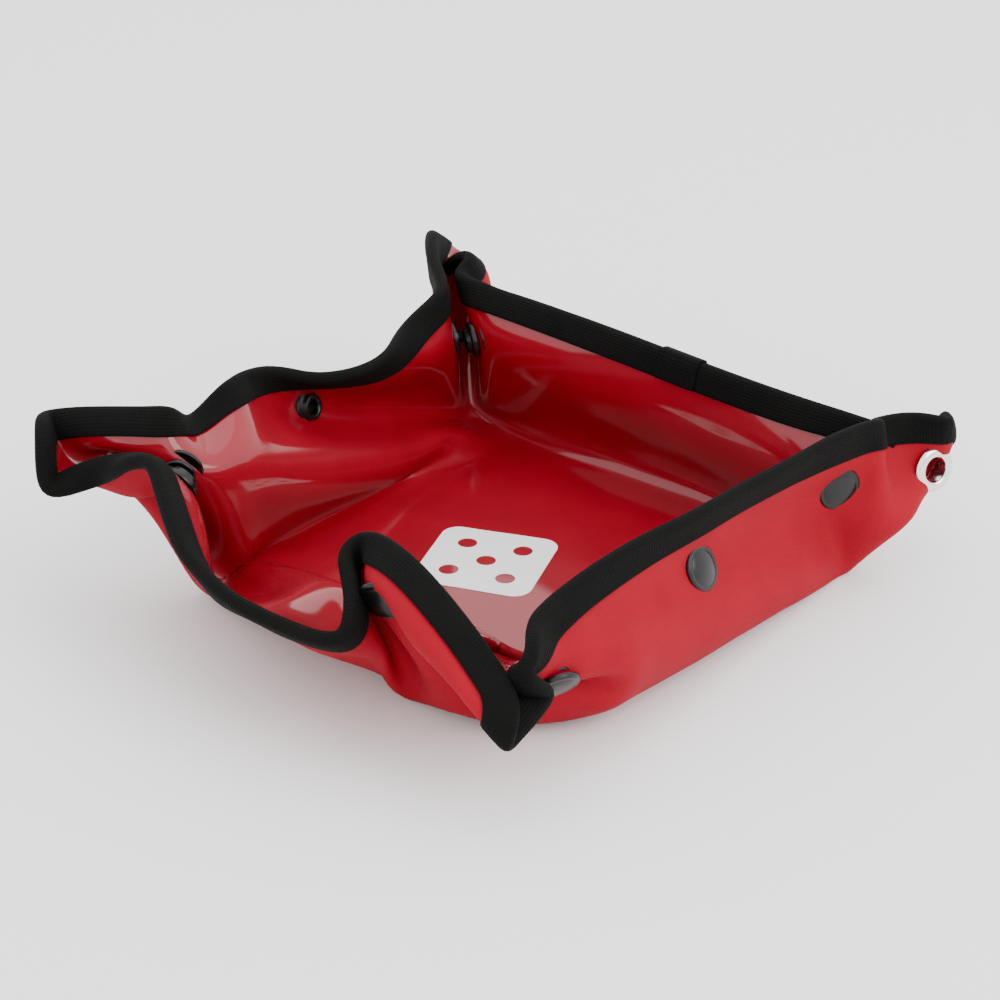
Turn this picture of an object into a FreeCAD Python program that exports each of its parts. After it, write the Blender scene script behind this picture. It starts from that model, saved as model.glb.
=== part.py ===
"""Folding dice tray: a square padded sheet whose corners snap together into four upright walls.

Frame: origin on the underside at the middle of the floor, +Z up, +X towards the right wall and
-Y towards the front wall. Millimetres. Every piece is drawn in the flat sheet first and then folded
up about the same lines that the sheet folds on.
"""
import math
import os

import FreeCAD
import Part

V = FreeCAD.Vector
Z_AXIS = V(0, 0, 1)

# ---- the sheet, laid flat -------------------------------------------------------------------
SHEET_SIDE = 236.0
CORNER_RADIUS = 14.0
WALL_WIDTH = 46.0
COVER_THICKNESS = 2.0
LINING_THICKNESS = 0.6
TAPE_THICKNESS = 0.6
TAPE_WIDTH = 7.5

# ---- how it stands when the corners are snapped ---------------------------------------------
WALL_ANGLE = 80.0
FLAT_STOP = 1.0
EAR_SPACING = 6.4
RIDGE_SETBACK = 0.9
FOLD_CLEARANCE = 0.2
FOLD_RELIEF = 4.5

# ---- snap fasteners -------------------------------------------------------------------------
SNAP_FROM_EDGE = 17.5
CAP_RADIUS = 6.2
CAP_HEIGHT = 1.9
CAP_RIM = 0.8
CAP_FOLD_GAP = 0.4
PRONG_RADIUS = 1.3
STUD_BASE_RADIUS = 4.6
STUD_BASE_HEIGHT = 0.8
BALL_RADIUS = 1.9
BALL_NECK_RADIUS = 1.5
BALL_HEIGHT = 2.1
SOCKET_RADIUS = 5.4
SOCKET_HEIGHT = 2.8
SOCKET_BORE_RADIUS = 2.1
SOCKET_BORE_DEPTH = 2.4

# ---- hanging eyelet -------------------------------------------------------------------------
EYELET_FROM_EDGES = 17.0
EYELET_HOLE_RADIUS = 3.6
EYELET_FLANGE_RADIUS = 6.6
EYELET_WALL = 0.5
EYELET_ROLL_RADIUS = 0.75
EYELET_TAB_RADIUS = 8.2

# ---- printed picture on the floor -----------------------------------------------------------
PRINT_SIZE = 34.0
PRINT_CORNER = 5.0
PRINT_THICKNESS = 0.12
PRINT_TURN = 24.0
PRINT_CENTRE = (-5.0, 1.0)
PIP_RADIUS = 2.8
PIP_PITCH = 8.2

# ---- worked out from the sizes above --------------------------------------------------------
SHEET_THICKNESS = COVER_THICKNESS + LINING_THICKNESS
MID_HEIGHT = SHEET_THICKNESS / 2
HALF_SHEET = SHEET_SIDE / 2
HALF_FLOOR = HALF_SHEET - WALL_WIDTH
TAPED_HALF_THICKNESS = MID_HEIGHT + TAPE_THICKNESS
FOLD_SHIFT = EAR_SPACING / math.sqrt(2)
REACH = SHEET_SIDE
PARTS = "parts"

# each wall is the right-hand wall turned about Z by a number of quarter turns
QUARTER_TURNS = {"right": 0, "rear": 1, "left": 2, "front": 3}
NEIGHBOURS = {
    "right": ("front", "rear"),
    "rear": ("right", "left"),
    "left": ("rear", "front"),
    "front": ("left", "right"),
}
OPEN_CORNER = {"front", "right"}
# the inner half of each snap: a corner's two halves close on each other, stud into socket
CORNER_SNAPS = {"right": "stud", "rear": "socket", "left": "stud", "front": "socket"}
MIDDLE_SNAPS = {"right": "stud", "left": "socket"}
EYELET_EAR = ("right", "rear")


def radians(angle):
    return math.radians(angle)


def closed_ear_slope():
    """Slope of the fold line beside an ear whose two halves close against each other."""
    rise = math.tan(radians(WALL_ANGLE))
    return math.degrees(math.acos(-1 / math.sqrt(2 + rise * rise))) - 90


def closed_ear_fold():
    """How far a closed ear half is folded back from its wall."""
    lean = radians(WALL_ANGLE)
    return math.degrees(math.acos(math.sin(lean) / math.sqrt(2)))


def open_ear_fold():
    """How far an ear half is folded back where the ridge stays open in a V."""
    lean = radians(WALL_ANGLE)
    reach = math.hypot(1, math.sin(lean))
    return math.degrees(math.acos(math.cos(lean) / reach) - math.atan(math.sin(lean)))


def is_open(wall, neighbour):
    return {wall, neighbour} == OPEN_CORNER


def ear_slope(wall, neighbour):
    return 0.0 if is_open(wall, neighbour) else closed_ear_slope()


def ear_fold(wall, neighbour):
    return open_ear_fold() if is_open(wall, neighbour) else closed_ear_fold()


def fold_setback(half_thickness, angle):
    """Room beside a fold line, so that two thick plates don't meet on its inner side."""
    return half_thickness * math.tan(radians(angle / 2)) + FOLD_CLEARANCE


def prism(points, low=-10.0, high=20.0):
    corners = [V(x, y, low) for x, y in points]
    return Part.Face(Part.makePolygon(corners + corners[:1])).extrude(V(0, 0, high - low))


def rounded_square(half, radius, low, high):
    block = Part.makeBox(2 * half, 2 * half, high - low, V(-half, -half, low))
    upright = [e for e in block.Edges if abs(e.BoundBox.ZLength - (high - low)) < 1e-6]
    return block.makeFillet(radius, upright)


def disc(radius, low, high, x=0.0, y=0.0):
    return Part.makeCylinder(radius, high - low, V(x, y, low))


def turned(profile):
    """Solid of revolution about Z from (radius, height) points."""
    points = [V(r, 0, z) for r, z in profile]
    return Part.Face(Part.makePolygon(points + points[:1])).revolve(V(0, 0, 0), Z_AXIS, 360)


def flat_layers():
    """The whole sheet laid flat: cover, lining and the tape folded round its edge."""
    cover = rounded_square(HALF_SHEET, CORNER_RADIUS, 0, COVER_THICKNESS)
    lining = rounded_square(HALF_SHEET, CORNER_RADIUS, COVER_THICKNESS, SHEET_THICKNESS)
    sheet = rounded_square(HALF_SHEET, CORNER_RADIUS, 0, SHEET_THICKNESS)
    bottom, top = -TAPE_THICKNESS, SHEET_THICKNESS + TAPE_THICKNESS
    outside = rounded_square(
        HALF_SHEET + TAPE_THICKNESS, CORNER_RADIUS + TAPE_THICKNESS, bottom, top)
    inside = rounded_square(
        HALF_SHEET - TAPE_WIDTH, CORNER_RADIUS - TAPE_WIDTH, bottom - 1, top + 1)
    binding = outside.cut(inside).cut(sheet)
    return {"cover": cover, "lining": lining, "binding": binding}


def fold_line(wall, neighbour, side, offset):
    """Two far ends of the line beside an ear, moved sideways by offset towards the ear."""
    slope = radians(ear_slope(wall, neighbour))
    start_y = HALF_FLOOR - FOLD_SHIFT + offset / math.cos(slope)
    near, far = -REACH, REACH
    return [
        (HALF_FLOOR + near, side * (start_y + near * math.tan(slope))),
        (HALF_FLOOR + far, side * (start_y + far * math.tan(slope))),
    ]


def wall_region(wall):
    """Outline of a wall in the flat sheet, as if it were the right-hand wall."""
    inner_x = HALF_FLOOR + fold_setback(MID_HEIGHT, WALL_ANGLE)
    region = prism([(inner_x, -REACH), (REACH, -REACH), (REACH, REACH), (inner_x, REACH)])
    for side, neighbour in zip((-1, 1), NEIGHBOURS[wall]):
        setback = fold_setback(TAPED_HALF_THICKNESS, ear_fold(wall, neighbour))
        near, far = fold_line(wall, neighbour, side, -setback)
        beyond = [near, far, (far[0], side * 2 * REACH), (near[0], side * 2 * REACH)]
        region = region.cut(prism(beyond, -11, 21))
    return region


def eyelet_tab():
    return disc(EYELET_TAB_RADIUS, -10, 20, *([HALF_SHEET - EYELET_FROM_EDGES] * 2))


def ear_region(wall, neighbour, side):
    """Outline of the half ear at one end of a wall, as if it were the right-hand wall."""
    setback = fold_setback(TAPED_HALF_THICKNESS, ear_fold(wall, neighbour))
    near, far = fold_line(wall, neighbour, side, setback)
    region = prism([near, far, (far[0], side * 2 * REACH), (near[0], side * 2 * REACH)])
    shift = RIDGE_SETBACK * math.sqrt(2)
    ridge = [(0, -shift), (REACH, REACH - shift), (REACH, -REACH), (0, -REACH)]
    region = region.common(prism([(x, side * y) for x, y in ridge], -11, 21))
    start_x = HALF_FLOOR + FOLD_RELIEF
    region = region.common(
        prism([(start_x, -REACH), (REACH, -REACH), (REACH, REACH), (start_x, REACH)], -11, 21))
    if (wall, neighbour) == EYELET_EAR:
        region = region.fuse(eyelet_tab()).removeSplitter()
    if (neighbour, wall) == EYELET_EAR:
        tab = eyelet_tab()
        tab.scale((EYELET_TAB_RADIUS + RIDGE_SETBACK) / EYELET_TAB_RADIUS,
                  V(HALF_SHEET - EYELET_FROM_EDGES, HALF_SHEET - EYELET_FROM_EDGES, 0))
        region = region.cut(tab.mirror(V(0, 0, 0), V(0, 1, 0)) if side < 0 else tab)
    return region


def raise_wall(shape, wall):
    """Fold a wall up from the flat sheet and turn it to its own side of the tray."""
    placed = shape.copy()
    placed.rotate(V(HALF_FLOOR, 0, MID_HEIGHT), V(0, 1, 0), -WALL_ANGLE)
    placed.rotate(V(0, 0, 0), Z_AXIS, 90 * QUARTER_TURNS[wall])
    return placed


def fold_ear(shape, wall, neighbour, side):
    """Fold a half ear back from its wall, and then raise it with the wall."""
    slope = radians(ear_slope(wall, neighbour))
    placed = shape.copy()
    start = V(HALF_FLOOR, side * (HALF_FLOOR - FOLD_SHIFT), MID_HEIGHT)
    along = V(math.cos(slope), side * math.sin(slope), 0)
    placed.rotate(start, along, -side * ear_fold(wall, neighbour))
    return raise_wall(placed, wall)


def snap_cap():
    """Domed cap on the outside of the sheet, with its prong through it; the sheet is at z >= 0."""
    profile = [(0, 0), (CAP_RADIUS - CAP_RIM / 2, 0), (CAP_RADIUS, -CAP_RIM / 2),
               (CAP_RADIUS - 0.3, -CAP_RIM)]
    steps = 6
    for step in range(1, steps + 1):
        turn = radians(90 * step / steps)
        radius = (CAP_RADIUS - 0.3) * math.cos(turn)
        profile.append((max(radius, 0), -CAP_RIM - (CAP_HEIGHT - CAP_RIM) * math.sin(turn)))
    return turned(profile).fuse(disc(PRONG_RADIUS, -CAP_RIM, SHEET_THICKNESS))


def snap_stud():
    """Stud half of a snap, standing on the lining."""
    base = SHEET_THICKNESS
    neck = base + STUD_BASE_HEIGHT
    tip = neck + BALL_HEIGHT
    return turned([
        (0, base), (STUD_BASE_RADIUS, base), (STUD_BASE_RADIUS, neck - 0.3),
        (STUD_BASE_RADIUS - 0.3, neck), (BALL_NECK_RADIUS, neck),
        (BALL_NECK_RADIUS, neck + BALL_HEIGHT * 0.4), (BALL_RADIUS, neck + BALL_HEIGHT * 0.65),
        (BALL_RADIUS - 0.5, tip), (0, tip),
    ])


def snap_socket():
    """Socket half of a snap, standing on the lining, with a round bore for the stud's ball."""
    base = SHEET_THICKNESS
    rim = base + SOCKET_HEIGHT
    return turned([
        (0, base), (SOCKET_RADIUS, base), (SOCKET_RADIUS, rim - 0.6), (SOCKET_RADIUS - 0.6, rim),
        (SOCKET_BORE_RADIUS, rim), (SOCKET_BORE_RADIUS, rim - SOCKET_BORE_DEPTH),
        (0, rim - SOCKET_BORE_DEPTH),
    ])


def eyelet():
    """Rolled eyelet through the sheet, and its washer on the lining side."""
    barrel_outer = EYELET_HOLE_RADIUS + EYELET_WALL
    roll_centre = EYELET_FLANGE_RADIUS - EYELET_ROLL_RADIUS
    barrel = disc(barrel_outer, -EYELET_ROLL_RADIUS, SHEET_THICKNESS + 0.9)
    flange = Part.makeTorus(roll_centre, EYELET_ROLL_RADIUS, V(0, 0, 0))
    plate = disc(roll_centre, -EYELET_ROLL_RADIUS, 0)
    front = barrel.fuse(plate).fuse(flange.cut(disc(REACH, 0, 5)))
    front = front.cut(disc(EYELET_HOLE_RADIUS, -5, 10)).removeSplitter()
    washer = turned([
        (barrel_outer, SHEET_THICKNESS), (EYELET_FLANGE_RADIUS, SHEET_THICKNESS),
        (EYELET_FLANGE_RADIUS, SHEET_THICKNESS + 0.25), (barrel_outer + 0.6, SHEET_THICKNESS + 0.8),
        (barrel_outer, SHEET_THICKNESS + 0.8),
    ])
    return Part.makeCompound([front, washer])


def floor_print():
    """White print on the lining: a rounded die face with five pips left unprinted."""
    half = PRINT_SIZE / 2
    face = rounded_square(half, PRINT_CORNER, SHEET_THICKNESS, SHEET_THICKNESS + PRINT_THICKNESS)
    pips = [(0, 0)] + [(sx * PIP_PITCH, sy * PIP_PITCH) for sx in (-1, 1) for sy in (-1, 1)]
    for x, y in pips:
        face = face.cut(disc(PIP_RADIUS, 0, 5, x, y))
    face.rotate(V(0, 0, 0), Z_AXIS, PRINT_TURN)
    face.translate(V(PRINT_CENTRE[0], PRINT_CENTRE[1], 0))
    return face


def ear_snap_y(wall, neighbour, side):
    """Where a corner snap sits along the wall, just clear of the fold beside it."""
    slope = radians(ear_slope(wall, neighbour) or closed_ear_slope())
    along = HALF_SHEET - SNAP_FROM_EDGE - HALF_FLOOR
    line_y = HALF_FLOOR - FOLD_SHIFT + along * math.tan(slope)
    return side * (line_y + (CAP_RADIUS + CAP_FOLD_GAP) / math.cos(slope))


def moved(shape, x, y):
    copy = shape.copy()
    copy.translate(V(x, y, 0))
    return copy


def snap_pieces(inner_half, x, y):
    """Cap and inner half of one snap in the flat sheet."""
    inner = snap_socket() if inner_half == "socket" else snap_stud()
    return {"cap": moved(snap_cap(), x, y), inner_half: moved(inner, x, y)}


def build():
    nodes = {}
    layers = flat_layers()
    inner_half = HALF_FLOOR - fold_setback(MID_HEIGHT, WALL_ANGLE)
    floor = prism([(-inner_half, -inner_half), (inner_half, -inner_half),
                   (inner_half, inner_half), (-inner_half, inner_half)])
    nodes["floor_cover"] = layers["cover"].common(floor)
    nodes["floor_lining"] = layers["lining"].common(floor)
    nodes["floor_print"] = floor_print()

    snap_x = HALF_SHEET - SNAP_FROM_EDGE
    prong_hole = disc(PRONG_RADIUS, -5, 10)
    for wall in QUARTER_TURNS:
        region = wall_region(wall)
        snaps = snap_pieces(MIDDLE_SNAPS[wall], snap_x, 0) if wall in MIDDLE_SNAPS else {}
        for name, layer in layers.items():
            piece = layer.common(region)
            if snaps:
                piece = piece.cut(moved(prong_hole, snap_x, 0))
            nodes[f"wall_{wall}_{name}"] = raise_wall(piece, wall)
        for name, piece in snaps.items():
            nodes[f"wall_{wall}_{name}"] = raise_wall(piece, wall)

        for side, neighbour in zip((-1, 1), NEIGHBOURS[wall]):
            ear = f"ear_{wall}_{neighbour}"
            region = ear_region(wall, neighbour, side)
            snap_y = ear_snap_y(wall, neighbour, side)
            for name, layer in layers.items():
                piece = layer.common(region).cut(moved(prong_hole, snap_x, snap_y))
                if (wall, neighbour) == EYELET_EAR:
                    centre = HALF_SHEET - EYELET_FROM_EDGES
                    barrel = EYELET_HOLE_RADIUS + EYELET_WALL
                    piece = piece.cut(disc(barrel, -5, 10, centre, side * centre))
                nodes[f"{ear}_{name}"] = fold_ear(piece, wall, neighbour, side)
            for name, piece in snap_pieces(CORNER_SNAPS[wall], snap_x, snap_y).items():
                nodes[f"{ear}_{name}"] = fold_ear(piece, wall, neighbour, side)
            if (wall, neighbour) == EYELET_EAR:
                centre = HALF_SHEET - EYELET_FROM_EDGES
                ring = moved(eyelet(), centre, side * centre)
                nodes["hanging_eyelet"] = fold_ear(ring, wall, neighbour, side)
    return nodes


def save(nodes):
    os.makedirs(PARTS, exist_ok=True)
    for name, shape in nodes.items():
        shape.exportStep(os.path.join(PARTS, name + ".step"))
        box = shape.BoundBox
        print(f"{name}: solids {len(shape.Solids)}, volume {shape.Volume:.1f}, "
              f"x {box.XMin:.1f}..{box.XMax:.1f}, y {box.YMin:.1f}..{box.YMax:.1f}, "
              f"z {box.ZMin:.2f}..{box.ZMax:.1f}, valid {shape.isValid()}")
    print(len(nodes), "nodes")


save(build())
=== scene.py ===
import math

import bmesh
import bpy
import numpy as np
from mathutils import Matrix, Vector


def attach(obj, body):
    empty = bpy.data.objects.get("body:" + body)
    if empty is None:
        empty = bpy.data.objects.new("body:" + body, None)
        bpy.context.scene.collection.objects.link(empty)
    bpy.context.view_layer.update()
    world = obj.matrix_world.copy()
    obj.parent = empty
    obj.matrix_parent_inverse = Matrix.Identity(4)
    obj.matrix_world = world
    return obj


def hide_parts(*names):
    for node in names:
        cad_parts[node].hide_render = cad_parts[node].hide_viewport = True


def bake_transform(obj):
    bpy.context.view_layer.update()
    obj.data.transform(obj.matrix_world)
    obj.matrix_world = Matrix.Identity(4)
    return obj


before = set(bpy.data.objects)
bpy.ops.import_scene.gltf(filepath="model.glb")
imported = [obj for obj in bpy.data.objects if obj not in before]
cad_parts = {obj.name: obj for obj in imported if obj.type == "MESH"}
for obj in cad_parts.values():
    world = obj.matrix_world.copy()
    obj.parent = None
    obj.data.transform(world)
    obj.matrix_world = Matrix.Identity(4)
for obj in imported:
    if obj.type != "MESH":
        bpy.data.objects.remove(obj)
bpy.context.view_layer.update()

# ---- the flat sheet, in millimetres; u runs to the right wall and v to the rear wall --------
HALF_SHEET = 118.0
HALF_FLOOR = 72.0
CORNER_RADIUS = 14.0
HALF_THICKNESS = 1.3
LINING_UNDERSIDE = 0.7
SNAP_FROM_EDGE = 17.5
SNAP_ALONG = 63.0
EYELET_UV = 101.0
EYELET_CUT = 4.5
MM = 0.001

# ---- how the sheet is held: (u, v) of the sheet, where it goes (x, y, z), and how firmly -----
HOLDS = [
    (118, 60, 70, 57, 44, 0.4),
    (118, 0, 70, -3, 44, 0.4),
    (118, -58, 69, -65, 41, 1.0),
    (118, -90, 78, -72, 28, 0.8),
    (112, 112, 80, 97, 37, 1.0),
    (110, 90, 71, 82, 32, 1.0),
    (92, 106, 78, 95, 19, 1.0),
    (118, 92, 73, 86, 43, 0.6),
    (92, 118, 67, 94, 33, 0.6),
    (-112, 112, -95, 78, 47, 1.0),
    (-62, 118, -62, 62, 49, 0.5),
    (-112, -112, -81, -88, 46, 1.0),
    (-118, -90, -84, -75, 49, 0.5),
    (-118, -48, -64, -50, 45, 0.5),
    (-118, 0, -60, -11, 45, 0.5),
    (-118, 40, -62, 28, 45, 0.5),
    (-88, -118, -68, -83, 38, 0.8),
    (-88, -88, -71, -74, 33, 0.8),
    (-78, -78, -63, -65, 25, 0.8),
    (-30, -118, -17, -96, 41, 1.0),
    (0, -118, 10, -101, 37, 1.0),
    (22, -118, 34, -91, 32, 1.0),
    (38, -118, 26, -80, 40, 1.0),
    (57, -118, 21, -71, 49, 1.0),
    (75, -118, 43, -75, 47, 1.0),
    (96, -118, 65, -78, 37, 1.0),
    (63, -100, 31, -79, 42, 1.0),
    (100, -63, 77, -61, 24, 0.6),
    (20, -82, 21, -67, 10, 0.6),
    (112, -112, 81, -85, 25, 1.0),
]
SNAPPED = ((1, 1), (-1, 1), (-1, -1))


# ---- the sheet's stiffness and the solver's steps --------------------------------------------
GRID = 41
FRAMES = 130
SOLVES = 5
EASE_IN = 60
EDGE_STIFFNESS, DIAGONAL_STIFFNESS, BEND = 6000.0, 2100.0, 18.0
SNAP_STIFFNESS, SNAP_GAP, SNAP_REACH = 3000.0, 7.0, 6.5
INERTIA, TABLE_STIFFNESS, FLOOR_STIFFNESS = 6.0, 40.0, 200.0
GRIP, HOLD_SPREAD = 2500.0, 4.5
GRAVITY, SPEED_KEPT = 0.02, 0.9
START_LEAN, CORNER_PUSH = math.radians(80), 0.55
# the part of the sheet that lies flat; the other parts are free to lift
FLOOR_LEFT, FLOOR_RIGHT, FLOOR_FRONT, FLOOR_REAR = 56.0, 70.0, 50.0, 60.0
FLOOR_SLANT, FLOOR_DIAGONAL, FLOOR_DIAGONAL_LEFT = 0.16, 126.0, 92.0


def fold_sheet():
    """Projective dynamics of one bending sheet: three corners snapped, floor on the table."""
    g = np.linspace(-HALF_SHEET, HALF_SHEET, GRID)
    h = g[1] - g[0]
    uu, vv = np.meshgrid(g, g, indexing="ij")
    rest = np.stack([uu, vv, 0 * uu], -1).reshape(-1, 3)
    idx = np.arange(GRID * GRID).reshape(GRID, GRID)
    pairs = [(idx[:-1], idx[1:], EDGE_STIFFNESS), (idx[:, :-1], idx[:, 1:], EDGE_STIFFNESS),
             (idx[:-1, :-1], idx[1:, 1:], DIAGONAL_STIFFNESS),
             (idx[1:, :-1], idx[:-1, 1:], DIAGONAL_STIFFNESS)]
    i = np.concatenate([a.ravel() for a, b, w in pairs])
    j = np.concatenate([b.ravel() for a, b, w in pairs])
    stiff = np.concatenate([np.full(a.size, w) for a, b, w in pairs])
    length = np.linalg.norm(rest[i] - rest[j], axis=1)
    count = len(rest)
    system = np.zeros((count, count))

    def link(rows, signs, weight):
        for a, ca in zip(rows, signs):
            for b, cb in zip(rows, signs):
                np.add.at(system, (a.ravel(), b.ravel()), weight * ca * cb)

    link((i, j), (1, -1), stiff)
    bend = BEND / h ** 2 * 16
    link((idx[:-2], idx[1:-1], idx[2:]), (1, -2, 1), bend)
    link((idx[:, :-2], idx[:, 1:-1], idx[:, 2:]), (1, -2, 1), bend)
    link((idx[:-1, :-1], idx[1:, :-1], idx[:-1, 1:], idx[1:, 1:]), (1, -1, -1, 1), 2 * bend)

    snaps = []
    for sx, sy in SNAPPED:
        a = np.where(np.hypot(rest[:, 0] * sx - HALF_SHEET + SNAP_FROM_EDGE,
                              rest[:, 1] * sy - SNAP_ALONG) < SNAP_REACH)[0]
        b = [int(np.argmin(np.hypot(rest[:, 0] * sx - rest[k, 1] * sy,
                                    rest[:, 1] * sy - rest[k, 0] * sx))) for k in a]
        snaps.append((a, np.array(b), np.array([sx, -sy, 0]) / math.sqrt(2)))
        link((a, snaps[-1][1]), (1, -1), SNAP_STIFFNESS)

    u, v = rest[:, 0], rest[:, 1]
    held = np.where((u > -FLOOR_LEFT) & (u < FLOOR_RIGHT)
                    & (v > -FLOOR_FRONT - FLOOR_SLANT * u) & (v < FLOOR_REAR)
                    & (u - v < FLOOR_DIAGONAL) & (u + v > -FLOOR_DIAGONAL_LEFT))[0]
    floor_at = rest[held] + [0, 0, HALF_THICKNESS]
    spread = np.array([np.exp(-((u - p[0]) ** 2 + (v - p[1]) ** 2) / 2 / HOLD_SPREAD ** 2)
                       for p in HOLDS])
    spread /= spread.sum(1)[:, None]
    places = np.array([p[2:5] for p in HOLDS], float)
    grip = np.array([p[5] for p in HOLDS]) * GRIP
    system += (spread.T * grip) @ spread
    diagonal = np.full(count, INERTIA + TABLE_STIFFNESS)
    diagonal[held] += FLOOR_STIFFNESS
    system[np.arange(count), np.arange(count)] += diagonal
    inverse = np.linalg.inv(system)

    x = rest.copy()
    over = np.maximum(np.abs(rest[:, :2]) - HALF_FLOOR, 0)
    for k in (0, 1):
        x[:, k] = np.sign(rest[:, k]) * (np.minimum(np.abs(rest[:, k]), HALF_FLOOR)
                                         + over[:, k] * math.cos(START_LEAN))
        x[:, 2] = np.maximum(x[:, 2], over[:, k] * math.sin(START_LEAN))
    x[:, :2] += np.sign(rest[:, :2]) * over.min(1)[:, None] * CORNER_PUSH
    speed = np.zeros_like(x)
    for step in range(FRAMES):
        y = x + SPEED_KEPT * speed
        y[:, 2] -= GRAVITY
        new, ramp = y.copy(), min(1.0, step / EASE_IN)
        for _ in range(SOLVES):
            d = new[i] - new[j]
            span = np.maximum(np.linalg.norm(d, axis=1), 1e-9)[:, None]
            pull = d / span * (length * stiff)[:, None]
            b = INERTIA * y
            np.add.at(b, i, pull)
            np.add.at(b, j, -pull)
            for one, other, across in snaps:
                gap = new[one] - new[other]
                if ramp >= 1:
                    mean = gap.mean(0)
                    across = 0.5 * across + 0.5 * mean / max(np.linalg.norm(mean), 1e-6)
                    across = across / np.linalg.norm(across)
                want = across * SNAP_GAP + (1 - ramp) * (gap - across * SNAP_GAP)
                np.add.at(b, one, SNAP_STIFFNESS * want)
                np.add.at(b, other, -SNAP_STIFFNESS * want)
            above = new.copy()
            above[:, 2] = np.maximum(above[:, 2], HALF_THICKNESS)
            b += TABLE_STIFFNESS * above
            b[held] += FLOOR_STIFFNESS * floor_at
            b += spread.T @ (grip[:, None] * (places * ramp + (1 - ramp) * (spread @ new)))
            new = inverse @ b
        speed, x = new - x, new
    return x.reshape(GRID, GRID, 3)


SHEET = fold_sheet()


# ---- the smooth surface through it -----------------------------------------------------------
def b_spline(t):
    """Cubic B-spline weights at t in a cell, and their slopes."""
    value = np.stack([(1 - t) ** 3, 3 * t ** 3 - 6 * t ** 2 + 4,
                      -3 * t ** 3 + 3 * t ** 2 + 3 * t + 1, t ** 3], -1) / 6
    slope = np.stack([-(1 - t) ** 2, 3 * t ** 2 - 4 * t, -3 * t ** 2 + 2 * t + 1, t ** 2], -1) / 2
    return value, slope


PADDED = np.pad(SHEET, ((1, 1), (1, 1), (0, 0)), mode="reflect", reflect_type="odd")
STEP = 2 * HALF_SHEET / (GRID - 1)


def surface(u, v):
    """Place and normal of the middle of the sheet at (u, v), carried straight on past its edges."""
    inside_u, inside_v = (np.clip(w, -HALF_SHEET, HALF_SHEET) for w in (u, v))
    at = [(w + HALF_SHEET) / STEP for w in (inside_u, inside_v)]
    cell = [np.clip(np.floor(w).astype(int), 0, GRID - 2) for w in at]
    (bu, du), (bv, dv) = (b_spline(w - c) for w, c in zip(at, cell))
    place, along_u, along_v = (np.zeros(u.shape + (3,)) for _ in range(3))
    for a in range(4):
        for b in range(4):
            p = PADDED[cell[0] + a, cell[1] + b]
            place += (bu[..., a] * bv[..., b])[..., None] * p
            along_u += (du[..., a] * bv[..., b] / STEP)[..., None] * p
            along_v += (bu[..., a] * dv[..., b] / STEP)[..., None] * p
    place += (u - inside_u)[..., None] * along_u + (v - inside_v)[..., None] * along_v
    normal = np.cross(along_u, along_v)
    return place, normal / np.linalg.norm(normal, axis=-1)[..., None], along_u


SNAP_SPOTS = {}
OUTWARD = {"right": (1, 0), "rear": (0, 1), "left": (-1, 0), "front": (0, -1)}
reach = HALF_SHEET - SNAP_FROM_EDGE
for wall, (du, dv) in OUTWARD.items():
    for neighbour, side in OUTWARD.items():
        if du * side[0] + dv * side[1] == 0:
            SNAP_SPOTS[(wall, neighbour)] = (du * reach + side[0] * SNAP_ALONG,
                                             dv * reach + side[1] * SNAP_ALONG)
SNAP_SPOTS[("right", None)] = (reach, 0.0)
SNAP_SPOTS[("left", None)] = (-reach, 0.0)


DIMPLE_DEPTH, DIMPLE_RADIUS, SWELL = 0.45, 5.5, 0.132


def layer(u, v, offset):
    """Point of the sheet at (u, v), offset from its middle towards the lining, in metres.
    The snaps press dimples into it, and the foam swells a little between them."""
    place, normal, _ = surface(u, v)
    dimple = sum(np.exp(-((u - a) ** 2 + (v - b) ** 2) / 2 / DIMPLE_RADIUS ** 2)
                 for a, b in SNAP_SPOTS.values())
    swell = SWELL * np.sin(u / 9.1 + 1.3 * np.sin(v / 13.0)) * np.sin(v / 8.3 + np.sin(u / 17.0))
    depth = offset + swell - np.sign(offset) * DIMPLE_DEPTH * dimple
    point = place + normal * depth[..., None]
    point[..., 2] = np.maximum(point[..., 2], 0.0)
    return point * MM


NORMAL_REACH = 0.4


def normals(u, v, offset, facing):
    """Normals of the layer at (u, v), from points a little to each side."""
    a = layer(u + NORMAL_REACH, v, offset) - layer(u - NORMAL_REACH, v, offset)
    b = layer(u, v + NORMAL_REACH, offset) - layer(u, v - NORMAL_REACH, offset)
    n = np.cross(a, b)
    return n / np.linalg.norm(n, axis=-1)[..., None] * facing


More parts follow.
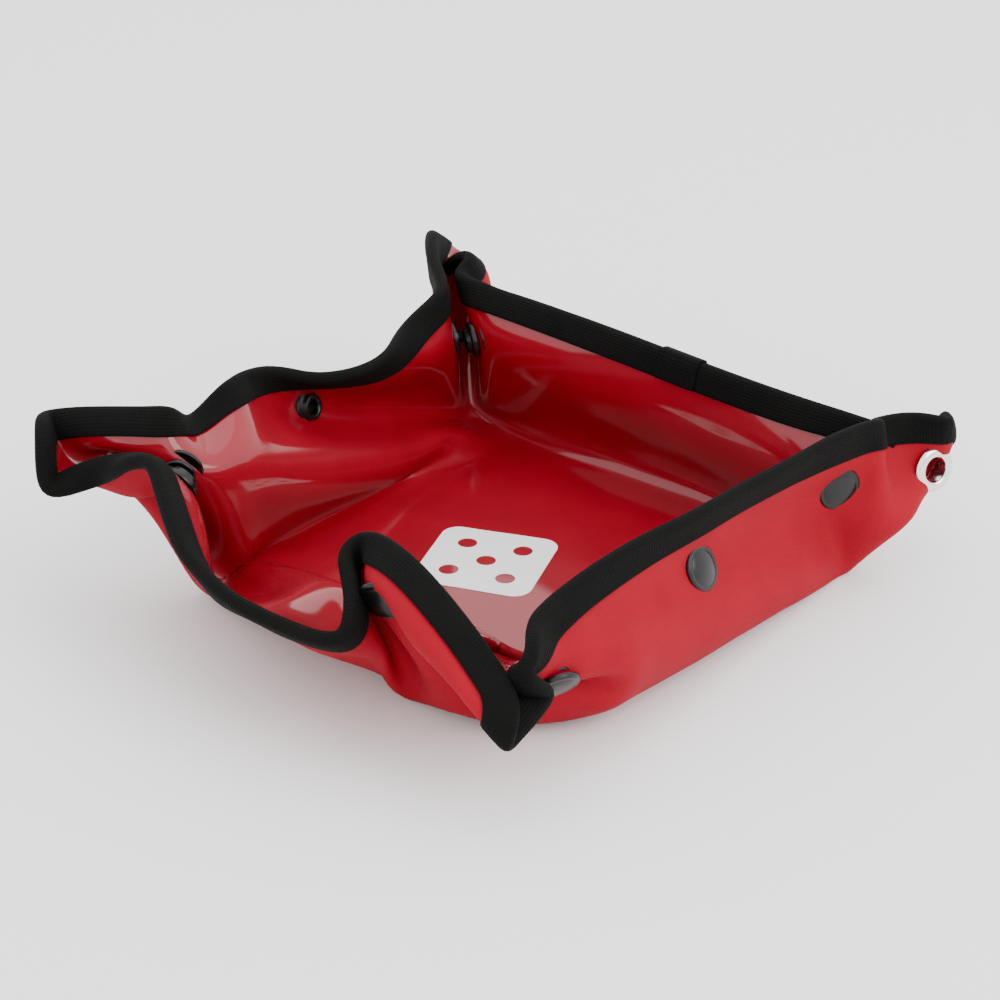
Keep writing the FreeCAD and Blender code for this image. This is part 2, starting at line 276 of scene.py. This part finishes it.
def add_mesh(name, verts, faces, vert_normals, material, uvs=None):
    """Mesh object from arrays, welded where points meet, shaded with the normals given."""
    mesh = bpy.data.meshes.new(name)
    mesh.from_pydata([tuple(p) for p in verts], [], faces)
    if uvs is not None:
        corner = np.zeros(len(mesh.loops), int)
        mesh.loops.foreach_get("vertex_index", corner)
        mesh.uv_layers.new(name="sheet").data.foreach_set("uv", uvs[corner].ravel())
    if vert_normals is not None:
        store = mesh.attributes.new("shade", "FLOAT_VECTOR", "POINT")
        store.data.foreach_set("vector", vert_normals.ravel())
    b = bmesh.new()
    b.from_mesh(mesh)
    bmesh.ops.remove_doubles(b, verts=b.verts, dist=1e-7)
    bmesh.ops.dissolve_degenerate(b, edges=b.edges, dist=1e-8)
    bmesh.ops.recalc_face_normals(b, faces=b.faces)
    b.to_mesh(mesh)
    b.free()
    mesh.polygons.foreach_set("use_smooth", [True] * len(mesh.polygons))
    if vert_normals is not None:
        kept = np.zeros(len(mesh.vertices) * 3)
        mesh.attributes["shade"].data.foreach_get("vector", kept)
        mesh.attributes.remove(mesh.attributes["shade"])
        mesh.normals_split_custom_set_from_vertices(kept.reshape(-1, 3).tolist())
    mesh.materials.append(material)
    obj = bpy.data.objects.new(name, mesh)
    bpy.context.scene.collection.objects.link(obj)
    return obj


def slab(name, u, v, low, high, material, keep=None):
    """Closed slab of the sheet between two offsets, over a grid of (u, v) places."""
    rows, columns = u.shape
    if keep is None:
        keep = np.ones((rows - 1, columns - 1), bool)
    verts = np.concatenate([layer(u, v, high + 0 * u).reshape(-1, 3),
                            layer(u, v, low + 0 * u).reshape(-1, 3)])
    shade = np.concatenate([normals(u, v, high + 0 * u, 1).reshape(-1, 3),
                            normals(u, v, low + 0 * u, -1).reshape(-1, 3)])
    uvs = np.tile(np.stack([u.ravel(), v.ravel()], -1) * MM * 10, (2, 1))
    index = np.arange(rows * columns).reshape(rows, columns)
    under = rows * columns
    faces, edges = [], {}
    for r, c in zip(*np.nonzero(keep)):
        quad = [int(q) for q in (index[r, c], index[r + 1, c], index[r + 1, c + 1], index[r, c + 1])]
        faces.append(quad)
        faces.append([q + under for q in reversed(quad)])
        for a, b in zip(quad, quad[1:] + quad[:1]):
            if (b, a) in edges:
                del edges[(b, a)]
            else:
                edges[(a, b)] = True
    for a, b in edges:
        faces.append([b, a, a + under, b + under])
    used = sorted({q for f in faces for q in f})
    renumber = {q: k for k, q in enumerate(used)}
    faces = [[renumber[q] for q in f] for f in faces]
    return add_mesh(name, verts[used], faces, shade[used], material, uvs[used])


def edge_arc(u):
    """How far v reaches at u inside the rounded corner."""
    centre = HALF_SHEET - CORNER_RADIUS
    return centre + np.sqrt(np.maximum(CORNER_RADIUS ** 2 - np.maximum(u - centre, 0) ** 2, 0))


def turned(u, v, turns, side=1):
    """Places drawn for the right wall, mirrored in v for side -1 and turned to another wall."""
    v = v * side
    for _ in range(turns):
        u, v = -v, u
    return u, v


def wall_places(turns):
    """Grid over one wall, from its fold to its rim."""
    u, v = np.meshgrid(np.linspace(HALF_FLOOR, HALF_SHEET, 31),
                       np.linspace(-HALF_FLOOR, HALF_FLOOR, 91), indexing="ij")
    return turned(u, v, turns)


def ear_places(turns, side):
    """Half of a corner square, from the wall's end to the diagonal and the rounded corner."""
    u = np.linspace(HALF_FLOOR, HALF_SHEET, 45)
    corner = HALF_SHEET - CORNER_RADIUS * (1 - 1 / math.sqrt(2))
    u = np.sort(np.append(u, corner))
    top = np.where(u <= corner, u, edge_arc(u))
    share = np.linspace(0, 1, 45)
    uu = np.repeat(u[:, None], len(share), 1)
    vv = HALF_FLOOR + (top[:, None] - HALF_FLOOR) * share[None]
    return turned(uu, vv, turns, side)


# ---- materials -------------------------------------------------------------------------------
def material(name, colour, rough, metal=0.0, coat=0.0, coat_rough=0.1, specular=0.5,
             build=None):
    m = bpy.data.materials.new(name)
    m.use_nodes = True
    nodes, links = m.node_tree.nodes, m.node_tree.links
    shader = nodes["Principled BSDF"]
    shader.inputs["Base Color"].default_value = (*colour, 1)
    shader.inputs["Roughness"].default_value = rough
    shader.inputs["Metallic"].default_value = metal
    shader.inputs["Coat Weight"].default_value = coat
    shader.inputs["Coat Roughness"].default_value = coat_rough
    shader.inputs["Specular IOR Level"].default_value = specular
    if build:
        build(nodes, links, shader)
    return m


def bump(nodes, links, shader, height, strength, distance):
    node = nodes.new("ShaderNodeBump")
    node.inputs["Strength"].default_value = strength
    node.inputs["Distance"].default_value = distance
    links.new(height, node.inputs["Height"])
    links.new(node.outputs["Normal"], shader.inputs["Normal"])


def weave(pitch, strength, distance, shades):
    """Plain weave from two crossed waves on the sheet's own places."""
    def build(nodes, links, shader):
        place = nodes.new("ShaderNodeUVMap")
        waves = []
        for direction in ("X", "Y"):
            wave = nodes.new("ShaderNodeTexWave")
            wave.bands_direction = direction
            wave.inputs["Scale"].default_value = 0.314 / (pitch * MM * 10)
            wave.inputs["Distortion"].default_value = 0.4
            wave.inputs["Detail"].default_value = 1.0
            links.new(place.outputs["UV"], wave.inputs["Vector"])
            waves.append(wave)
        both = nodes.new("ShaderNodeMath")
        both.operation = "MULTIPLY"
        for k, wave in enumerate(waves):
            links.new(wave.outputs["Fac"], both.inputs[k])
        bump(nodes, links, shader, both.outputs["Value"], strength, distance)
        mottle(nodes, links, shader, place, shades)
    return build


def mottle(nodes, links, shader, place, shades):
    """Slow changes of colour between two shades."""
    noise = nodes.new("ShaderNodeTexNoise")
    noise.inputs["Scale"].default_value = 6.0
    noise.inputs["Detail"].default_value = 6.0
    ramp = nodes.new("ShaderNodeValToRGB")
    for element, colour, at in zip(ramp.color_ramp.elements, shades, (0.3, 0.7)):
        element.color = (*colour, 1)
        element.position = at
    links.new(place.outputs["UV"], noise.inputs["Vector"])
    links.new(noise.outputs["Fac"], ramp.inputs["Fac"])
    links.new(ramp.outputs["Color"], shader.inputs["Base Color"])


def grain(scale, strength, distance, shades):
    """Fine unevenness of a coated sheet."""
    def build(nodes, links, shader):
        place = nodes.new("ShaderNodeUVMap")
        noise = nodes.new("ShaderNodeTexNoise")
        noise.inputs["Scale"].default_value = scale
        noise.inputs["Detail"].default_value = 4.0
        links.new(place.outputs["UV"], noise.inputs["Vector"])
        bump(nodes, links, shader, noise.outputs["Fac"], strength, distance)
        mottle(nodes, links, shader, place, shades)
    return build


def scuffs(scale, strength, distance):
    """Small marks on plastic, metal and print."""
    def build(nodes, links, shader):
        place = nodes.new("ShaderNodeTexCoord")
        noise = nodes.new("ShaderNodeTexNoise")
        noise.inputs["Scale"].default_value = scale
        links.new(place.outputs["Object"], noise.inputs["Vector"])
        bump(nodes, links, shader, noise.outputs["Fac"], strength, distance)
    return build


LINING = material("glossy lining", (0.24, 0.0, 0.009), 0.6, specular=0.1, coat=1.0, coat_rough=0.1,
                  build=grain(14.0, 0.12, 0.0004, ((0.22, 0.0, 0.008), (0.26, 0.0, 0.010))))
COVER = material("matte cover", (0.27, 0.0, 0.010), 0.75, specular=0.15,
                 build=weave(0.55, 0.35, 0.00012, ((0.25, 0.0, 0.009), (0.29, 0.0, 0.011))))
TAPE = material("binding tape", (0.002, 0.002, 0.002), 0.9, specular=0.12,
                build=weave(0.9, 0.8, 0.00025, ((0.0015, 0.0015, 0.0015), (0.003, 0.003, 0.0025))))
PLASTIC = material("snap plastic", (0.003, 0.003, 0.003), 0.28, specular=0.35,
                   build=scuffs(900, 0.08, 0.0001))
NICKEL = material("eyelet nickel", (0.78, 0.76, 0.73), 0.2, metal=1.0, build=scuffs(700, 0.12, 0.0001))
PRINT = material("white print", (0.82, 0.82, 0.82), 0.5, coat=0.3, build=scuffs(1500, 0.1, 0.00005))

# ---- floor, walls and half ears --------------------------------------------------------------
TURNS = {"right": 0, "rear": 1, "left": 2, "front": 3}
NEIGHBOURS = {"right": ("front", "rear"), "rear": ("right", "left"),
              "left": ("rear", "front"), "front": ("left", "right")}
LAYERS = {"cover": (-HALF_THICKNESS, LINING_UNDERSIDE, COVER, "outer_cover"),
          "lining": (LINING_UNDERSIDE, HALF_THICKNESS, LINING, "lining")}


def turning_span(u, v, foot, far, length):
    """Start and end of a blend: no point of the foot edge turns, and all past the length do."""
    points = surface(u, v)[0] * MM
    foot, far = points[foot].reshape(-1, 3), points[far].reshape(-1, 3)
    middle = foot.mean(0)
    spread = np.cov((foot - middle).T) + np.eye(3) * 0.002 ** 2
    along = np.linalg.solve(spread, far.mean(0) - middle)
    along /= np.linalg.norm(along)
    start = middle + along * ((foot - middle) @ along).max()
    return tuple(start), tuple(start + along * length)


ROW_START, ROW_PAST, COLUMN_START = np.s_[0, :], np.s_[8:14, :], np.s_[:, 0]
WALL_SPANS = {wall: turning_span(*wall_places(turns), ROW_START, ROW_PAST, 0.007)
              for wall, turns in TURNS.items()}
EAR_SPANS = {(wall, side): turning_span(*ear_places(turns, side), COLUMN_START, np.s_[22:, -12:], 0.012)
             for wall, turns in TURNS.items() for side in (-1, 1)}


def bend_wall(obj):
    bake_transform(obj)


def bend_ear(obj):
    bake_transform(obj)


grid = np.linspace(-HALF_FLOOR, HALF_FLOOR, 97)
floor_uv = np.meshgrid(grid, grid, indexing="ij")
for kind, (low, high, finish, slot) in LAYERS.items():
    piece = slab(f"floor_{kind}_piece", *floor_uv, low, high, finish)
    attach(piece, "root")
    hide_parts(f"floor_{kind}")
    for wall in TURNS:
        piece = slab(f"{wall}_wall_{kind}", *wall_places(TURNS[wall]), low, high, finish)
        bend_wall(piece)
        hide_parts(f"wall_{wall}_{kind}")
        for side, neighbour in zip((-1, 1), NEIGHBOURS[wall]):
            u, v = ear_places(TURNS[wall], side)
            middle_u, middle_v = ((w[1:, 1:] + w[:-1, :-1]) / 2 for w in (u, v))
            keep = np.hypot(middle_u - EYELET_UV, middle_v - EYELET_UV) > EYELET_CUT
            piece = slab(f"{wall}_{neighbour}_ear_{kind}", u, v, low, high, finish, keep)
            bend_ear(piece)
            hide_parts(f"ear_{wall}_{neighbour}_{kind}")

# ---- binding tape ----------------------------------------------------------------------------
TAPE_OUTSIDE = [(7.5, 1.86), (6.6, 1.98), (4.5, 2.02), (2.4, 2.04), (0.9, 1.96), (-0.1, 1.66),
                (-0.7, 1.1), (-0.95, 0.4)]
TAPE_INSIDE = [(-0.35, 0.4), (-0.25, 0.9), (0.2, 1.3), (0.9, 1.34), (2.4, 1.34), (4.5, 1.34),
               (7.4, 1.34)]
TAPE_LOOP = (TAPE_OUTSIDE + [(s, -h) for s, h in reversed(TAPE_OUTSIDE)]
             + [(s, -h) for s, h in reversed(TAPE_INSIDE)] + TAPE_INSIDE)


def part_way(ring, share):
    """The point that share of the way along a row of points."""
    return ring[int(round(share * (len(ring) - 1)))]


def tape(name, edge_u, edge_v, in_u, in_v, lift=0.0):
    """Folded tape round an edge; the first and last rows only shape the ends' shading."""
    places = []
    for s, height in TAPE_LOOP:
        h = height + math.copysign(lift, height) if s > -2 else height
        s = s - (lift if s < 0.5 else 0)
        places.append(layer(edge_u + in_u * s, edge_v + in_v * s, h + 0 * edge_u))
    points = np.stack(places, 1)
    along = np.gradient(points, axis=0)
    around = np.roll(points, -1, 1) - np.roll(points, 1, 1)
    shade = np.cross(around, along)
    shade /= np.maximum(np.linalg.norm(shade, axis=-1), 1e-12)[..., None]
    centre = points.mean(1, keepdims=True)
    count = len(TAPE_OUTSIDE) * 2
    if ((points - centre) * shade)[:, :count].sum() < 0:
        shade = -shade
    points, shade = points[1:-1], shade[1:-1]
    rows, size = points.shape[:2]
    run = np.concatenate([[0], np.cumsum(np.linalg.norm(np.diff(points[:, 3], axis=0), axis=1))])
    girth = np.cumsum([0] + [math.dist(a, b) for a, b in zip(TAPE_LOOP, TAPE_LOOP[1:])]) * MM
    uvs = np.stack(np.broadcast_arrays(run[:, None], girth[None]), -1).reshape(-1, 2) * 10
    faces = [[r * size + k, r * size + (k + 1) % size,
              (r + 1) * size + (k + 1) % size, (r + 1) * size + k]
             for r in range(rows - 1) for k in range(size)]
    half = size - count
    for row in (0, rows - 1):
        inner = [row * size + count + k for k in range(half)][::-1]
        outer = [row * size + k for k in range(count)]
        steps = max(len(inner), len(outer)) - 1
        for k in range(steps):
            quad = [part_way(outer, k / steps), part_way(outer, (k + 1) / steps),
                    part_way(inner, (k + 1) / steps), part_way(inner, k / steps)]
            faces.append(list(dict.fromkeys(quad)))
    return add_mesh(name, points.reshape(-1, 3), faces, shade.reshape(-1, 3), TAPE, uvs)


def wall_edge(turns, start=-HALF_FLOOR, end=HALF_FLOOR, count=97):
    """Points along a wall's rim and the way in from them, with one more point past each end."""
    v = np.linspace(start, end, count)
    v = np.concatenate([[2 * v[0] - v[1]], v, [2 * v[-1] - v[-2]]])
    return turned(HALF_SHEET + 0 * v, v, turns) + turned(-1 + 0 * v, 0 * v, turns)


def ear_edge(turns, side):
    """The same along a half ear's rim and its share of the rounded corner."""
    centre = HALF_SHEET - CORNER_RADIUS
    v = np.linspace(HALF_FLOOR, centre, 24)[:-1]
    v = np.concatenate([[2 * v[0] - v[1]], v])
    angle = np.radians(np.linspace(0, 45, 16))
    angle = np.append(angle, 2 * angle[-1] - angle[-2])
    u = np.concatenate([HALF_SHEET + 0 * v, centre + CORNER_RADIUS * np.cos(angle)])
    inward_u = np.concatenate([-1 + 0 * v, -np.cos(angle)])
    inward_v = np.concatenate([0 * v, -np.sin(angle)])
    v = np.concatenate([v, centre + CORNER_RADIUS * np.sin(angle)])
    return turned(u, v, turns, side) + turned(inward_u, inward_v, turns, side)


for wall, turns in TURNS.items():
    piece = tape(f"{wall}_wall_binding", *wall_edge(turns))
    bend_wall(piece)
    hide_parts(f"wall_{wall}_binding")
    for side, neighbour in zip((-1, 1), NEIGHBOURS[wall]):
        piece = tape(f"{wall}_{neighbour}_ear_binding", *ear_edge(turns, side))
        bend_ear(piece)
        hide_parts(f"ear_{wall}_{neighbour}_binding")
piece = tape("binding_overlap", *wall_edge(1, -17, -4, 15), lift=0.55)
bend_wall(piece)


# ---- snaps and eyelet ------------------------------------------------------------------------
SHARP_ANGLE = math.radians(38)


def lathe(name, outline, spot, offset, facing, finish, segments=48):
    """Turned piece standing on the sheet at (u, v), its axis along the sheet's normal."""
    u, v = (np.array(float(w)) for w in spot)
    place, normal, along = surface(u, v)
    z = normal * facing
    x = along - z * (along @ z)
    x /= np.linalg.norm(x)
    y = np.cross(z, x)
    place = place + normal * offset
    verts, faces = [], []
    count = len(outline)
    for k in range(segments):
        a = 2 * math.pi * k / segments
        ray = x * math.cos(a) + y * math.sin(a)
        verts += [(place + ray * r + z * h) * MM for r, h in outline]
    for k in range(segments):
        a, b = k * count, (k + 1) % segments * count
        faces += [[a + i, b + i, b + (i + 1) % count, a + (i + 1) % count] for i in range(count)]
    piece = add_mesh(name, verts, faces, None, finish)
    b = bmesh.new()
    b.from_mesh(piece.data)
    for e in b.edges:
        e.smooth = len(e.link_faces) == 2 and e.calc_face_angle(0) < SHARP_ANGLE
    b.to_mesh(piece.data)
    b.free()
    return piece


CAP = [(0, 1.9), (1.6, 1.86), (3.0, 1.7), (4.0, 1.48), (4.6, 1.26), (4.9, 1.1), (5.1, 1.08),
       (5.3, 1.16),
       (5.7, 1.08), (6.0, 0.86), (6.2, 0.5), (6.2, 0.1), (6.0, -0.3), (0, -0.3)]
STUD = [(0, 2.8), (0.9, 2.75), (1.5, 2.45), (1.9, 1.95), (1.8, 1.5), (1.5, 1.15), (1.55, 0.85),
        (2.2, 0.7), (3.6, 0.72), (4.0, 0.8), (4.4, 0.7), (4.6, 0.4), (4.6, -0.3), (0, -0.3)]
SOCKET = [(2.1, 0.5), (2.05, 1.9), (2.2, 2.45), (2.6, 2.75), (3.1, 2.8), (3.6, 2.6), (3.9, 1.9),
          (4.1, 1.4), (4.6, 1.2), (5.1, 1.1), (5.4, 0.7), (5.4, -0.3), (0, -0.3), (0, 0.5)]
EYELET = [(3.6, 1.3), (3.75, 1.95), (4.2, 2.3), (4.9, 2.4), (5.8, 2.15), (6.4, 1.7), (6.6, 1.35),
          (6.3, 1.2), (4.3, 1.2), (4.1, 1.0), (4.1, -1.0), (4.3, -1.2), (6.3, -1.2), (6.6, -1.35),
          (6.4, -1.6), (5.4, -1.85), (4.4, -1.95), (3.8, -1.8), (3.6, -1.3)]
INNER = {"right": "stud", "rear": "socket", "left": "stud", "front": "socket"}
MIDDLE = {"right": "stud", "left": "socket"}
for (wall, neighbour), spot in SNAP_SPOTS.items():
    half = INNER[wall] if neighbour else MIDDLE[wall]
    where = f"ear_{wall}_{neighbour}" if neighbour else f"wall_{wall}"
    label = f"{wall}_{neighbour}" if neighbour else f"{wall}_middle"
    cap = lathe(f"{label}_snap_cap", CAP, spot, -HALF_THICKNESS + 0.3, -1, PLASTIC)
    inner = lathe(f"{label}_snap_{half}", STUD if half == "stud" else SOCKET, spot,
                  HALF_THICKNESS - 0.3, 1, PLASTIC)
    for piece, node in ((cap, "cap"), (inner, half)):
        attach(piece, f"wall_{wall}")
        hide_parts(f"{where}_{node}")
ring = lathe("eyelet_ring", EYELET, (EYELET_UV, EYELET_UV), 0.0, -1, NICKEL, 64)
bend_ear(ring)
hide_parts("hanging_eyelet")


# ---- printed die face ------------------------------------------------------------------------
PRINT_HALF, PRINT_CORNER, PRINT_TURN, PRINT_AT = 17.0, 5.0, math.radians(24), (-5.0, 1.0)
PIP_RADIUS, PIP_PITCH, PRINT_THICKNESS = 2.8, 8.2, 0.14


def die_print():
    """The die face: a thin rounded square with round pips left open, laid on the lining."""
    shape = bpy.data.curves.new("die_outline", "CURVE")
    shape.dimensions, shape.fill_mode = "2D", "BOTH"
    arms = PRINT_HALF - PRINT_CORNER

    def on_circle(x, y, radius, angle):
        return x + radius * math.cos(angle), y + radius * math.sin(angle)

    rings = [[on_circle(sx * arms, sy * arms, PRINT_CORNER, math.radians(a))
              for sx, sy, first in ((1, 1, 0), (-1, 1, 90), (-1, -1, 180), (1, -1, 270))
              for a in np.linspace(first, first + 90, 12)]]
    for px, py in ((0, 0), (1, 1), (1, -1), (-1, 1), (-1, -1)):
        rings.append([on_circle(px * PIP_PITCH, py * PIP_PITCH, PIP_RADIUS, a)
                      for a in np.linspace(0, 2 * math.pi, 33)[:-1]])
    for ring_points in rings:
        line = shape.splines.new("POLY")
        line.points.add(len(ring_points) - 1)
        line.use_cyclic_u = True
        for p, (x, y) in zip(line.points, ring_points):
            p.co = (x, y, 0, 1)
    holder = bpy.data.objects.new("die_outline", shape)
    mesh = bpy.data.meshes.new_from_object(holder)
    bpy.data.objects.remove(holder)
    b = bmesh.new()
    b.from_mesh(mesh)
    for axis in (0, 1):
        for cut in np.arange(-15, 16, 3.0):
            point, direction = [0, 0, 0], [0, 0, 0]
            point[axis], direction[axis] = float(cut), 1
            bmesh.ops.bisect_plane(b, geom=b.verts[:] + b.edges[:] + b.faces[:],
                                   plane_co=point, plane_no=direction)
    bmesh.ops.recalc_face_normals(b, faces=b.faces)
    if sum(f.normal.z for f in b.faces) < 0:
        bmesh.ops.reverse_faces(b, faces=b.faces)
    thick = bmesh.ops.extrude_face_region(b, geom=b.faces[:])
    raised = {e for e in thick["geom"] if isinstance(e, bmesh.types.BMVert)}
    for vert in b.verts:
        x, y = vert.co.x, vert.co.y
        u = PRINT_AT[0] + x * math.cos(PRINT_TURN) - y * math.sin(PRINT_TURN)
        v = PRINT_AT[1] + x * math.sin(PRINT_TURN) + y * math.cos(PRINT_TURN)
        height = HALF_THICKNESS + (PRINT_THICKNESS if vert in raised else 0.0)
        vert.co = Vector(layer(np.array(u), np.array(v), np.array(height)))
    bmesh.ops.recalc_face_normals(b, faces=b.faces)
    b.to_mesh(mesh)
    b.free()
    mesh.materials.append(PRINT)
    piece = bpy.data.objects.new("die_print", mesh)
    bpy.context.scene.collection.objects.link(piece)
    return piece


piece = die_print()
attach(piece, "root")
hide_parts("floor_print")

# ---- stage, light and camera -----------------------------------------------------------------
ground = bpy.data.meshes.new("ground")
ground.from_pydata([(-6, -6, 0), (6, -6, 0), (6, 6, 0), (-6, 6, 0)], [], [(0, 1, 2, 3)])
table = bpy.data.objects.new("ground", ground)
bpy.context.scene.collection.objects.link(table)
ground.materials.append(material("pale floor", (0.93, 0.93, 0.93), 0.9))
table.location.z = -0.0005


def area_light(name, place, size, power):
    lamp = bpy.data.lights.new(name, "AREA")
    lamp.size, lamp.energy = size, power
    obj = bpy.data.objects.new(name, lamp)
    obj.location = place
    obj.rotation_euler = (-Vector(place)).to_track_quat("-Z", "Y").to_euler()
    bpy.context.scene.collection.objects.link(obj)


area_light("key", (1.2, 0.2, 1.0), 0.9, 12)
area_light("top", (-0.2, 0.3, 1.5), 1.4, 6)
area_light("fill", (0.9, -0.9, 0.9), 1.2, 2)
world = bpy.data.worlds.new("studio")
world.use_nodes = True
world.node_tree.nodes["Background"].inputs["Color"].default_value = (1, 1, 1, 1)
world.node_tree.nodes["Background"].inputs["Strength"].default_value = 2.0
bpy.context.scene.world = world

AZIMUTH, ELEVATION, DISTANCE = math.radians(42), math.radians(27.5), 0.6
aim = Vector((0, 0, 0.02))
back = Vector((math.sin(AZIMUTH) * math.cos(ELEVATION), -math.cos(AZIMUTH) * math.cos(ELEVATION),
               math.sin(ELEVATION)))
lens = bpy.data.cameras.new("camera")
lens.lens, lens.sensor_width = 79.2, 36.0
lens.shift_x, lens.shift_y = 0.003, 0.012
camera = bpy.data.objects.new("camera", lens)
camera.location = aim + back * DISTANCE
camera.rotation_euler = (-back).to_track_quat("-Z", "Y").to_euler()
bpy.context.scene.collection.objects.link(camera)
bpy.context.scene.camera = camera
